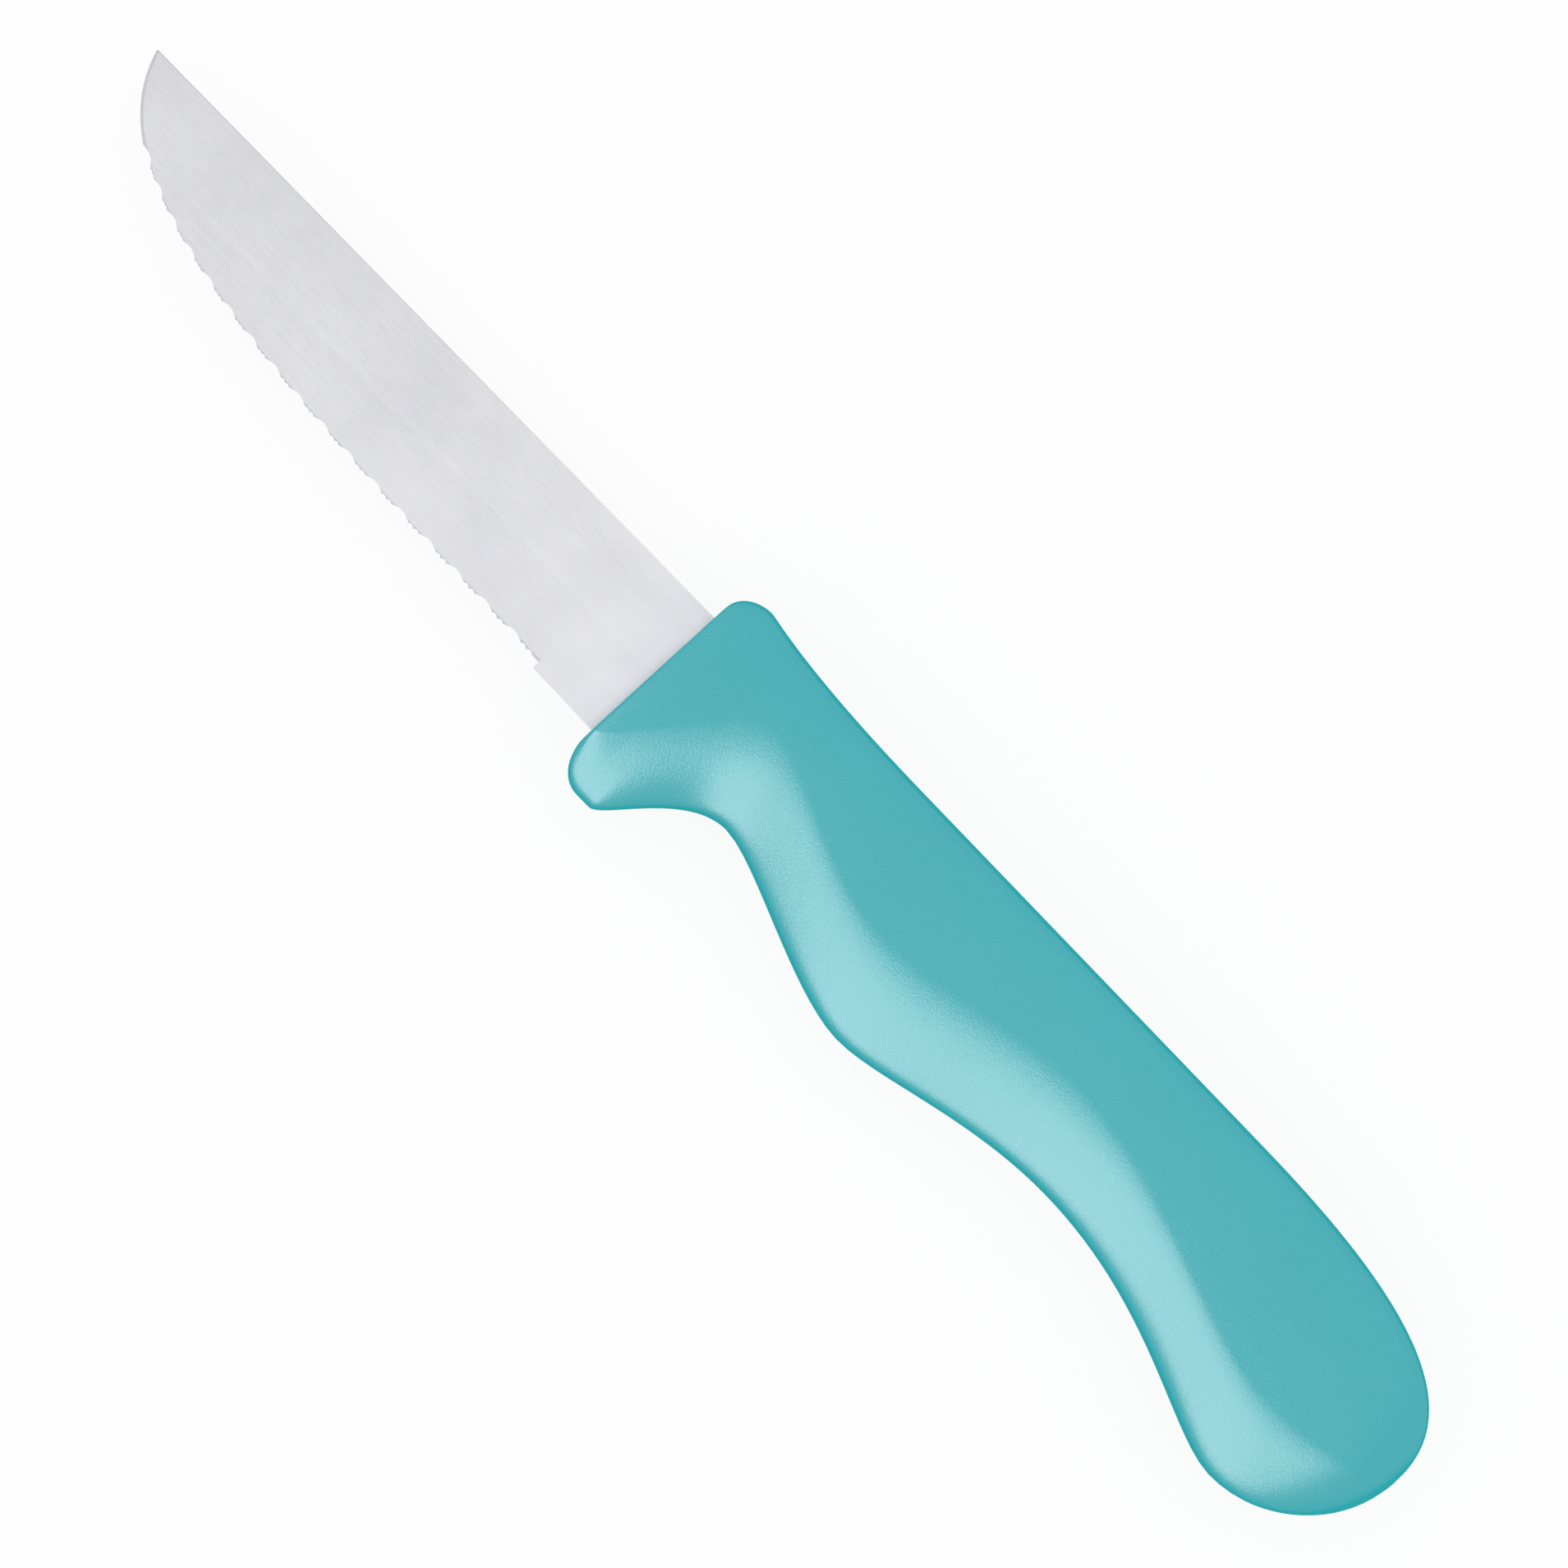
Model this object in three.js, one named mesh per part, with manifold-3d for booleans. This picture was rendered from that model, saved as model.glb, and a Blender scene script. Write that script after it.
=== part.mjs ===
// Steak knife: a stamped, serrated stainless blade with a hidden tang, and a handle moulded over the tang.
// Millimetres. The drawing has its zero where the spine enters the handle: x runs from the tip to the butt,
// y from the cutting edge to the back of the knife, and z out of the cheek that faces up.
import * as THREE from "three";
import { mergeVertices } from "three/addons/utils/BufferGeometryUtils.js";
import Module from "manifold-3d";

const wasm = await Module();
wasm.setup();

// Blade
const bladeReach = 88.3; // from the handle to the tip
const stripThickness = 1.3; // rolled strip, which the tang keeps
const grindDepth = 0.05; // taken off each face of the blade
const heelDepth = 18.6; // spine to heel, at the handle
const heelLength = 10; // unsharpened stretch in front of the handle
const heelRise = 0.3; // the heel is this much shallower at its front end
const heelStep = 0.9; // the sharpened edge lies this far above the heel
const tipBlunt = 0.1; // height of the very tip
const tipRun = 4.5; // the edge leaves the tip along this run and fall
const tipFall = 15;
const edgeRun = 49.3; // the edge reaches the heel along this run and fall
const edgeFall = 0.65;

// Sharpening, all from the lower face
const bevelHeight = 3.5; // width of the ground bevel
const edgeLand = 0.15; // steel left standing at the edge
const smoothEdge = 10.5; // plain edge next to the tip
const scallopPitch = 3.72; // of the scallop nearest the tip
const pitchGain = 0.06; // each later scallop is this much longer
const scallopWidth = 2.7;
const scallopDepth = 0.5;
const toothWidth = 0.6; // small teeth between the scallops
const toothDepth = 0.18;
const teethPerLand = 2;

// Tang
const shoulderDepth = 5; // the blade's full depth runs this far into the handle
const tangLength = 80;
const tangRootTop = 1.5; // depths below the spine
const tangRootBottom = 12.5;
const tangEndTop = 3;
const tangEndBottom = 10;
const tangHoleDiameter = 5;
const tangHoleMargin = 10; // from the shoulder and from the end to the nearest hole
const tangHoles = 3;
const mouldGap = 0.2; // clearance between the plastic and the steel

// Handle outline, as rises and drops from the spine's line
const handleLength = 121.7;
const guardRise = 4.9;
const guardRiseAt = 4;
const guardCorner = 3;
const backRise = 2.95; // where the straight back starts
const backFrom = 30;
const backEndRise = 2.42; // where it ends, measured from the butt
const backEndFromButt = 36.3;
const lobeDrop = 24.7;
const lobeAt = 3.9; // the lobe's front corner ends here
const lobeCorner = 4.9;
const lobeFlat = 1.9; // level stretch under the lobe
const neckDrop = 15.55;
const neckAt = 18;
const bellyDrop = 23.1;
const bellyAt = 43.3;
const waistDrop = 18.6;
const waistAt = 71.5;
const buttDrop = 27.4;
const buttFromEnd = 14.8;
const buttEndDrop = 13.3;

// Handle sections
const handleThickness = 14;
const noseThickness = 12; // at the front face
const noseLength = 22; // the cheeks reach their full thickness this far back
const frontRake = 2; // degrees by which the front face leans
const frontRound = 0.4;
const buttRound = 10; // length over which the butt closes
const cornerRound = 2.5; // least reach of the underside's rounding
const backRound = 3; // reach of the back's rounding
const edgeShare = 0.18; // of the half thickness, in the blunt edge along the underside
const frontEdgeShare = 0.55; // the same at the front face, where the lobe is bluntest

// The line on the cheeks where the underside's rounding starts, as drops from the spine's line
const cheekFrontDrop = 19;
const cheekRun = 4.5; // it leaves the front face along this run and rise
const cheekRise = 7;
const cheekNeckDrop = 3.2;
const cheekNeckAt = 13.5;
const cheekBellyDrop = 11;
const cheekBellyAt = 38;
const cheekWaistDrop = 7;
const cheekWaistAt = 65;
const cheekButtDrop = 16.5;
const cheekButtFromEnd = 17.7;

// The lobe's form inside its outline, which bends more softly, as drops from the spine's line
const innerFrontDrop = 20.3;
const innerRun = 1.6; // it leaves the front face along this run and fall
const innerFall = 2.6;
const innerDrop = 24.3;
const innerAt = 4.6;
const lobePull = 5; // exponent by which the form comes out to the outline only near it

// Exponents of the handle's roundings, inwards and through the thickness. An ellipse has 2 and 2.
const undersideCurve = [1.5, 1.5];
const edgeCurve = [60, 2];
const backCurve = [8, 4];
const buttCurve = [3, 3];

// How far each curve of the outline stays level at its two ends, as a share of the stretch
const lobeToNeck = [0.15, 0.5];
const innerFrontToLobe = 0.48; // the front end of this stretch isn't level
const innerLobeToNeck = [0.373, 0.455];
const neckToBelly = [0.19, 0.29];
const bellyToWaist = [0.215, 0.425];
const waistToButt = [0.5, 0.18];
const buttToEnd = [0.55, 0.51];
const guardToBack = [0.025, 0.72];
const backToEnd = [0.66, 0.72];
const cheekFrontToNeck = 0.3; // the front end of this stretch isn't level
const cheekNeckToBelly = [0.2, 0.37];
const cheekBellyToWaist = [0.3, 0.33];
const cheekWaistToButt = [0.36, 0.26];
const cheekButtToEnd = [0.34, 0.47];
const flatShare = 0.06; // least share of a section's depth that stays flat on the cheek

const bladeThickness = stripThickness - 2 * grindDepth;
const rakeSlope = Math.tan(THREE.MathUtils.degToRad(frontRake));
const cutterReach = 1; // cutting tools run this far past the material

// Fineness of the round shapes
const curveSteps = 24;
const roundSteps = 12;
const scallopSides = 96;
const toothSides = 32;

// The handle's front face leans about the middle of the blade.
function frontAt(y) {
  return rakeSlope * (y + heelDepth / 2);
}

// Closed mesh to solid, and back
function solidFrom(geometry) {
  const bare = new THREE.BufferGeometry();
  bare.setAttribute("position", geometry.getAttribute("position"));
  bare.setIndex(geometry.index);
  const merged = mergeVertices(bare, 1e-4);
  const vertProperties = merged.getAttribute("position").array;
  const triVerts = new Uint32Array(merged.index.array);
  return new wasm.Manifold(new wasm.Mesh({ numProp: 3, vertProperties, triVerts }));
}

function meshFrom(solid, name, material) {
  const { vertProperties, triVerts } = solid.getMesh();
  const geometry = new THREE.BufferGeometry();
  geometry.setAttribute("position", new THREE.BufferAttribute(vertProperties, 3));
  geometry.setIndex(new THREE.BufferAttribute(triVerts, 1));
  geometry.computeVertexNormals();
  const mesh = new THREE.Mesh(geometry, material);
  mesh.name = name;
  return mesh;
}

// A flat outline given a thickness, centred on the blade's middle plane.
function plate(outline, thickness) {
  const geometry = new THREE.ExtrudeGeometry(outline, {
    depth: thickness,
    bevelEnabled: false,
    curveSegments: curveSteps,
  });
  return geometry.translate(0, 0, -thickness / 2);
}

// A skin over a row of rings with equal point counts. The first ring is closed by a flat face,
// and so is the last one unless an apex closes it. flat holds the first ring's outline in its own plane.
function loft(rings, flat, apex) {
  const count = rings[0].length;
  const points = rings.flat();
  const faces = [];
  for (let ring = 0; ring + 1 < rings.length; ring++) {
    for (let i = 0; i < count; i++) {
      const a = ring * count + i;
      const b = ring * count + ((i + 1) % count);
      faces.push(a, b, a + count, b, b + count, a + count);
    }
  }
  const last = (rings.length - 1) * count;
  for (const [a, b, c] of THREE.ShapeUtils.triangulateShape(flat, [])) {
    faces.push(c, b, a);
    if (!apex) faces.push(last + a, last + b, last + c);
  }
  if (apex) {
    points.push(apex);
    for (let i = 0; i < count; i++) faces.push(last + i, last + ((i + 1) % count), points.length - 1);
  }
  const geometry = new THREE.BufferGeometry().setFromPoints(points);
  geometry.setIndex(faces);
  return geometry;
}

// Blade outline
const tip = new THREE.Vector2(-bladeReach, -tipBlunt);
const edgeEnd = new THREE.Vector2(-heelLength, -(heelDepth - heelRise - heelStep));
const edge = new THREE.CubicBezierCurve(
  tip,
  new THREE.Vector2(tip.x + tipRun, tip.y - tipFall),
  new THREE.Vector2(edgeEnd.x - edgeRun, edgeEnd.y + edgeFall),
  edgeEnd,
);

// The blank before sharpening: its edge lies one heel step outside the finished edge.
function traceBlade(outline) {
  const { v0, v1, v2, v3 } = edge;
  outline.lineTo(v0.x - cutterReach, 0);
  outline.lineTo(v0.x - cutterReach, v0.y - heelStep);
  outline.bezierCurveTo(v1.x, v1.y - heelStep, v2.x, v2.y - heelStep, v3.x, v3.y - heelStep);
}

// The part of the tang inside the handle, grown by a margin for the pocket around it.
function traceTang(outline, margin) {
  const shoulder = shoulderDepth + margin;
  const end = tangLength + margin;
  const top = -tangEndTop + margin;
  const bottom = -tangEndBottom - margin;
  outline.lineTo(shoulder, -heelDepth - margin);
  outline.lineTo(shoulder, -tangRootBottom - margin);
  outline.lineTo(end - (top - bottom) / 2, bottom);
  outline.absarc(end - (top - bottom) / 2, (top + bottom) / 2, (top - bottom) / 2, -Math.PI / 2, Math.PI / 2);
  outline.lineTo(shoulder, -tangRootTop + margin);
  outline.lineTo(shoulder, margin);
}

// Middle of each locking hole, spaced evenly along the tang.
function tangHoleCentres() {
  const first = shoulderDepth + tangHoleMargin;
  const last = tangLength - tangHoleMargin;
  const centres = [];
  for (let i = 0; i < tangHoles; i++) {
    const x = first + ((last - first) * i) / Math.max(1, tangHoles - 1);
    const along = (x - shoulderDepth) / (tangLength - shoulderDepth);
    const top = THREE.MathUtils.lerp(tangRootTop, tangEndTop, along);
    const bottom = THREE.MathUtils.lerp(tangRootBottom, tangEndBottom, along);
    centres.push(new THREE.Vector2(x, -(top + bottom) / 2));
  }
  return centres;
}

function bladeBlank() {
  const outline = new THREE.Shape();
  outline.moveTo(shoulderDepth, 0);
  traceBlade(outline);
  traceTang(outline, 0);
  for (const { x, y } of tangHoleCentres()) {
    const hole = new THREE.Path();
    hole.absarc(x, y, tangHoleDiameter / 2, 0, 2 * Math.PI, true);
    outline.holes.push(hole);
  }
  return solidFrom(plate(outline, stripThickness));
}

// The slab that grinding takes off one face, from the tip to the handle's front.
function facing(side) {
  const ahead = tip.x - 2 * cutterReach;
  const above = cutterReach;
  const below = -heelDepth - cutterReach;
  const outline = new THREE.Shape();
  outline.moveTo(ahead, below);
  outline.lineTo(frontAt(below), below);
  outline.lineTo(frontAt(above), above);
  outline.lineTo(ahead, above);
  const depth = cutterReach;
  return solidFrom(plate(outline, depth).translate(0, 0, (side * (bladeThickness + depth)) / 2));
}

// Where the edge is, which way it faces, and how the bevel behind it lies.
const bevelAngle = Math.atan((bladeThickness - edgeLand) / bevelHeight);
function edgeFrame(share) {
  const at = edge.getPointAt(share);
  const along = edge.getTangentAt(share);
  return {
    foot: new THREE.Vector3(at.x, at.y, bladeThickness / 2 - edgeLand),
    along: new THREE.Vector3(along.x, along.y, 0),
    outward: new THREE.Vector3(along.y, -along.x, 0),
  };
}

// What grinding the bevel takes away: all outside the edge, and the lower face behind it.
function bevelCutter() {
  const low = -bladeThickness / 2 - cutterReach * Math.tan(bevelAngle);
  const high = bladeThickness / 2 + cutterReach;
  const outside = -heelStep - 4 * cutterReach;
  const section = [
    new THREE.Vector2(outside, high),
    new THREE.Vector2(outside, low),
    new THREE.Vector2(bevelHeight + cutterReach, low),
    new THREE.Vector2(0, bladeThickness / 2 - edgeLand),
    new THREE.Vector2(0, high),
  ];
  const ringAt = (share, shift) => {
    const { foot, along, outward } = edgeFrame(share);
    const place = ({ x, y }) =>
      new THREE.Vector3(foot.x, foot.y, y).addScaledVector(outward, -x).addScaledVector(along, shift);
    return section.map(place);
  };
  const rings = [ringAt(0, -4 * cutterReach)];
  for (let i = 0; i <= curveSteps; i++) rings.push(ringAt(i / curveSteps, 0));
  return solidFrom(loft(rings, section));
}

// One pass of a round-rimmed wheel across the edge, which leaves a notch of this width and depth.
function wheelCut(share, width, depth, sides) {
  const { foot, along, outward } = edgeFrame(share);
  const sag = depth * Math.sin(bevelAngle);
  const radius = (width ** 2 / 4 + sag ** 2) / (2 * sag);
  const bite = sag + edgeLand * Math.cos(bevelAngle);
  const up = new THREE.Vector3(0, 0, 1);
  const axis = outward.clone().applyAxisAngle(along, -bevelAngle);
  const away = up.clone().applyAxisAngle(along, -bevelAngle).negate();
  const wheel = new THREE.CylinderGeometry(radius, radius, 4 * bevelHeight, sides);
  const turn = new THREE.Matrix4().makeBasis(along, axis, along.clone().cross(axis));
  turn.setPosition(foot.addScaledVector(away, radius - bite));
  return solidFrom(wheel.applyMatrix4(turn));
}

function serrationCuts() {
  const edgeLength = edge.getLength();
  const cuts = [];
  let start = smoothEdge;
  let pitch = scallopPitch;
  while (pitch > scallopWidth && start + pitch < edgeLength) {
    const middle = start + pitch / 2;
    cuts.push(wheelCut(middle / edgeLength, scallopWidth, scallopDepth, scallopSides));
    for (let tooth = 0; tooth < teethPerLand; tooth++) {
      const along = ((tooth + 0.5) / teethPerLand) * (pitch - scallopWidth);
      const at = middle + scallopWidth / 2 + along;
      cuts.push(wheelCut(at / edgeLength, toothWidth, toothDepth, toothSides));
    }
    start += pitch;
    pitch += pitchGain;
  }
  return cuts;
}

function makeBlade() {
  let blade = bladeBlank();
  for (const side of [-1, 1]) blade = blade.subtract(facing(side));
  blade = blade.subtract(bevelCutter());
  for (const cut of serrationCuts()) blade = blade.subtract(cut);
  const steel = new THREE.MeshStandardMaterial({ color: 0xdcdce4, roughness: 0.35, metalness: 1 });
  return meshFrom(blade, "blade", steel);
}

// Handle outline
function levelCurve(path, to, [leave, arrive]) {
  const from = path.currentPoint;
  const run = to.x - from.x;
  path.bezierCurveTo(from.x + leave * run, from.y, to.x - arrive * run, to.y, to.x, to.y);
}

const buttEnd = new THREE.Vector2(handleLength, -buttEndDrop);

// From a level place near the butt to its end, which the curve reaches upright.
function closeAtButt(path, from, [leave, arrive]) {
  const ahead = from.x + leave * (buttEnd.x - from.x);
  const beside = buttEnd.y + arrive * (from.y - buttEnd.y);
  path.bezierCurveTo(ahead, from.y, buttEnd.x, beside, buttEnd.x, buttEnd.y);
}

function behindLobe(path, lobeToNeckShares) {
  const butt = new THREE.Vector2(handleLength - buttFromEnd, -buttDrop);
  levelCurve(path, new THREE.Vector2(neckAt, -neckDrop), lobeToNeckShares);
  levelCurve(path, new THREE.Vector2(bellyAt, -bellyDrop), neckToBelly);
  levelCurve(path, new THREE.Vector2(waistAt, -waistDrop), bellyToWaist);
  levelCurve(path, butt, waistToButt);
  closeAtButt(path, butt, buttToEnd);
  return path;
}

function undersidePath() {
  const path = new THREE.Path();
  path.absellipse(lobeAt, lobeCorner - lobeDrop, lobeAt, lobeCorner, Math.PI, 1.5 * Math.PI);
  path.lineTo(lobeAt + lobeFlat, -lobeDrop);
  return behindLobe(path, lobeToNeck);
}

function innerPath() {
  const path = new THREE.Path();
  path.moveTo(0, -innerFrontDrop);
  path.bezierCurveTo(
    innerRun,
    -innerFrontDrop - innerFall,
    (1 - innerFrontToLobe) * innerAt,
    -innerDrop,
    innerAt,
    -innerDrop,
  );
  return behindLobe(path, innerLobeToNeck);
}

function backPath() {
  const start = new THREE.Vector2(backFrom, backRise);
  const end = new THREE.Vector2(handleLength - backEndFromButt, backEndRise);
  const slope = (end.y - start.y) / (end.x - start.x);
  const lead = guardToBack[1] * (start.x - guardRiseAt);
  const leave = backToEnd[0] * backEndFromButt;
  const path = new THREE.Path();
  path.absellipse(guardRiseAt, guardRise - guardCorner, guardRiseAt, guardCorner, Math.PI, Math.PI / 2, true);
  path.bezierCurveTo(
    guardRiseAt + guardToBack[0] * (start.x - guardRiseAt),
    guardRise,
    start.x - lead,
    start.y - slope * lead,
    start.x,
    start.y,
  );
  path.lineTo(end.x, end.y);
  path.bezierCurveTo(
    end.x + leave,
    end.y + slope * leave,
    buttEnd.x,
    buttEnd.y + backToEnd[1] * (end.y - buttEnd.y),
    buttEnd.x,
    buttEnd.y,
  );
  return path;
}

function cheekPath() {
  const butt = new THREE.Vector2(handleLength - cheekButtFromEnd, -cheekButtDrop);
  const path = new THREE.Path();
  path.moveTo(0, -cheekFrontDrop);
  path.bezierCurveTo(
    cheekRun,
    cheekRise - cheekFrontDrop,
    (1 - cheekFrontToNeck) * cheekNeckAt,
    -cheekNeckDrop,
    cheekNeckAt,
    -cheekNeckDrop,
  );
  levelCurve(path, new THREE.Vector2(cheekBellyAt, -cheekBellyDrop), cheekNeckToBelly);
  levelCurve(path, new THREE.Vector2(cheekWaistAt, -cheekWaistDrop), cheekBellyToWaist);
  levelCurve(path, butt, cheekWaistToButt);
  closeAtButt(path, butt, cheekButtToEnd);
  return path;
}

// Height of a line at x, from its points in order of x.
function heightAt(points, x) {
  let i = 1;
  while (i < points.length - 1 && points[i].x < x) i++;
  const before = points[i - 1];
  const after = points[i];
  return before.y + ((after.y - before.y) * (x - before.x)) / (after.x - before.x);
}

const underside = undersidePath().getPoints(4 * curveSteps);
const inner = innerPath().getPoints(4 * curveSteps);
const cheek = cheekPath().getPoints(4 * curveSteps);
const back = backPath().getPoints(4 * curveSteps);

// Share of the thickness that is left this far out along a rounding, from 0 where it starts to 1.
function leftAt(out, [inwards, through]) {
  return (1 - out ** inwards) ** (1 / through);
}

// The same for the underside, which ends in a blunt edge.
function undersideLeftAt(out, x) {
  const fade = Math.max(0, 1 - x / lobeAt) ** 2;
  const edge = THREE.MathUtils.lerp(edgeShare, frontEdgeShare, fade);
  return THREE.MathUtils.lerp(leftAt(out, undersideCurve), leftAt(out, edgeCurve), edge);
}

// Half the handle's thickness: it swells behind the nose, and closes at the butt.
function halfThickness(x) {
  const swell = THREE.MathUtils.smoothstep(x, 0, noseLength);
  const body = THREE.MathUtils.lerp(noseThickness, handleThickness, swell) / 2;
  const fromFront = Math.max(0, frontRound - x);
  const intoButt = Math.max(0, x - (handleLength - buttRound)) / buttRound;
  const frontLoss = frontRound - Math.sqrt(frontRound ** 2 - fromFront ** 2);
  return (body - frontLoss) * leftAt(intoButt, buttCurve);
}

// One section in the y, z plane: flat cheeks between a sloping underside and a fuller back.
function sectionAt(x) {
  const top = heightAt(back, x);
  const bottom = heightAt(inner, x);
  const pull = heightAt(underside, x) - bottom;
  const low = Math.hypot(cornerRound, Math.max(0, heightAt(cheek, x) - bottom));
  const fit = Math.min(1, ((1 - flatShare) * (top - bottom)) / (low + backRound));
  const half = halfThickness(x);
  const section = [];
  for (let i = 0; i <= roundSteps; i++) {
    const angle = Math.PI * (0.5 - i / roundSteps);
    const out = Math.cos(angle);
    const z = Math.sign(angle) * half * undersideLeftAt(out, x);
    section.push(new THREE.Vector2(bottom + low * fit * (1 - out) + pull * out ** lobePull, z));
  }
  for (let i = 0; i <= roundSteps; i++) {
    const angle = Math.PI * (i / roundSteps - 0.5);
    const out = Math.cos(angle);
    const z = Math.sign(angle) * half * leftAt(out, backCurve);
    section.push(new THREE.Vector2(top - backRound * fit * (1 - out), z));
  }
  return section;
}

// Places along the handle where a section is cut, closest where its outline turns fastest.
function stations() {
  const { lerp } = THREE.MathUtils;
  const lobeEnd = lobeAt + lobeFlat;
  const butt = handleLength - buttRound;
  const places = [];
  const frontSteps = 9;
  const neckSteps = 14;
  const gripSteps = 26;
  const buttSteps = 8;
  for (let i = 0; i <= frontSteps; i++) places.push(lobeAt * (1 - Math.cos((Math.PI * i) / 2 / frontSteps)));
  for (let i = 0; i < neckSteps; i++) places.push(lerp(lobeEnd, neckAt, (i / neckSteps) ** 1.5));
  for (let i = 0; i < gripSteps; i++) places.push(lerp(neckAt, butt, i / gripSteps));
  for (let i = 0; i < buttSteps; i++) places.push(butt + buttRound * Math.sin((Math.PI * i) / 2 / buttSteps));
  return places;
}

function gripBody() {
  const rings = stations().map((x) => {
    const fade = Math.max(0, 1 - x / noseLength);
    return sectionAt(x).map(({ x: y, y: z }) => new THREE.Vector3(x + fade * frontAt(y), y, z));
  });
  return solidFrom(loft(rings, sectionAt(0), new THREE.Vector3(buttEnd.x, buttEnd.y, 0)));
}

// The pocket that the tang fills, less the pegs that run through its holes.
function tangPocket() {
  const mouth = -cutterReach - heelDepth * rakeSlope;
  const outline = new THREE.Shape();
  outline.moveTo(shoulderDepth + mouldGap, mouldGap);
  outline.lineTo(mouth, mouldGap);
  outline.lineTo(mouth, -heelDepth - mouldGap);
  traceTang(outline, mouldGap);
  for (const { x, y } of tangHoleCentres()) {
    const peg = new THREE.Path();
    peg.absarc(x, y, tangHoleDiameter / 2 - mouldGap, 0, 2 * Math.PI, true);
    outline.holes.push(peg);
  }
  return solidFrom(plate(outline, stripThickness + 2 * mouldGap));
}

function makeHandle() {
  const plastic = new THREE.MeshStandardMaterial({ color: 0x53b4ba, roughness: 0.5, metalness: 0 });
  return meshFrom(gripBody().subtract(tangPocket()), "handle", plastic);
}

// The knife lies flat: its box stands on z = 0, with its middle over the origin.
const knife = new THREE.Group();
const drawing = new THREE.Group();
drawing.add(makeBlade(), makeHandle());
knife.add(drawing);
const box = new THREE.Box3().setFromObject(drawing, true);
const middle = box.getCenter(new THREE.Vector3());
drawing.position.set(-middle.x, -middle.y, -box.min.z);

export default knife;
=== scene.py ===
import bisect
import math

import bmesh
import bpy
from mathutils import Matrix, Vector
from mathutils.geometry import interpolate_bezier


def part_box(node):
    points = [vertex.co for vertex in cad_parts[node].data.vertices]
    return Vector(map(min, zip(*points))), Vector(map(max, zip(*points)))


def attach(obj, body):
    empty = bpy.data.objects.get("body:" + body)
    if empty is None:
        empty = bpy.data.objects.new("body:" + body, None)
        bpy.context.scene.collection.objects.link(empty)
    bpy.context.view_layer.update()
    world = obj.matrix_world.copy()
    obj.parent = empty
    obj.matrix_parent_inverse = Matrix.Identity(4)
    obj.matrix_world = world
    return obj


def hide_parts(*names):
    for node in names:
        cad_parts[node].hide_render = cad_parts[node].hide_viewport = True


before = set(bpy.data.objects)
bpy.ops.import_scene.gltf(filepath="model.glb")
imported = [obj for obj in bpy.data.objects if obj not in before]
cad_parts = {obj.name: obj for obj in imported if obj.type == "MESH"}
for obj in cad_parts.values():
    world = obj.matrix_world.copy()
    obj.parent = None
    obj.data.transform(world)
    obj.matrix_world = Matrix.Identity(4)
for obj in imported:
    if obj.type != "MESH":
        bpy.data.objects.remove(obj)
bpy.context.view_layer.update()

# Steak knife lying on its cheek: a satin stainless blade with a scalloped edge in a moulded teal grip.
# Sizes are in millimetres from the point where the spine enters the grip: x to the butt, y to the back
# and z up.
mm = 0.001
weldDistance = 0.0005  # points closer than this become one
nearLine = 0.001  # points this close to a line or a level count as on it
straight = (0, 0)  # a knot's handle where an outline runs straight
circleHandle = 0.5523  # length of a bezier handle that makes a quarter circle of radius 1
print("frame loaded:", ", ".join(sorted(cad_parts)))

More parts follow.
